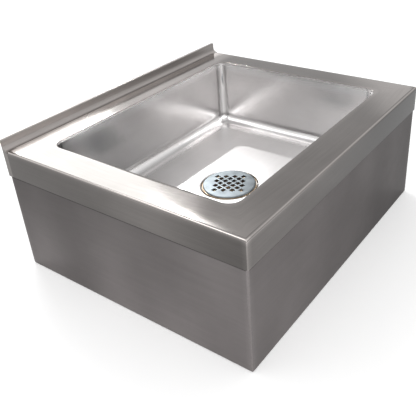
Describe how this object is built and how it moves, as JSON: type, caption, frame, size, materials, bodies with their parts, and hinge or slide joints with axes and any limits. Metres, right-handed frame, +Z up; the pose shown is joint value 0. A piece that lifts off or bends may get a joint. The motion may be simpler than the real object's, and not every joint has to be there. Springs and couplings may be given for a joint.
{
  "type": "mop service sink",
  "caption": "Floor-standing stainless mop sink: coved bowl in a folded deck with aprons, low wall upturn, skirt panels and a centre drain with lift-off strainer.",
  "frame": {"origin": "on the floor, under the centre of the whole object's box", "axes": "+X to the right seen from the front, +Y to the wall, +Z up"},
  "size_m": [0.635, 0.54, 0.275],
  "materials": {
    "sheet_steel": "brushed 16 gauge stainless, dull grey",
    "bowl_steel": "polished stainless, softly mirrored",
    "plate_steel": "mill stainless",
    "strainer_steel": "stamped satin stainless",
    "brass": "dull cast and turned brass",
    "rubber": "matt black",
    "fibre": "pressed fibre"
  },
  "bodies": {
    "sink": {"deck": "sheet_steel", "bowl": "bowl_steel", "front_skirt": "sheet_steel", "right_skirt": "sheet_steel", "back_skirt": "sheet_steel", "left_skirt": "sheet_steel", "gusset_front_left": "plate_steel", "gusset_front_right": "plate_steel", "gusset_back_right": "plate_steel", "gusset_back_left": "plate_steel", "left_channel": "plate_steel", "right_channel": "plate_steel", "flange_seal": "rubber", "drain_body": "brass", "rubber_washer": "rubber", "friction_washer": "fibre", "locknut": "brass", "pipe_gasket": "rubber", "compression_nut": "brass"},
    "strainer": {"strainer_plate": "strainer_steel", "strainer_clip_1": "strainer_steel", "strainer_clip_2": "strainer_steel"}
  },
  "joints": [
    {"name": "strainer_lift", "type": "slide", "parent": "sink", "child": "strainer", "axis": [0, 0, 1], "range_m": [0, 0.2]}
  ]
}
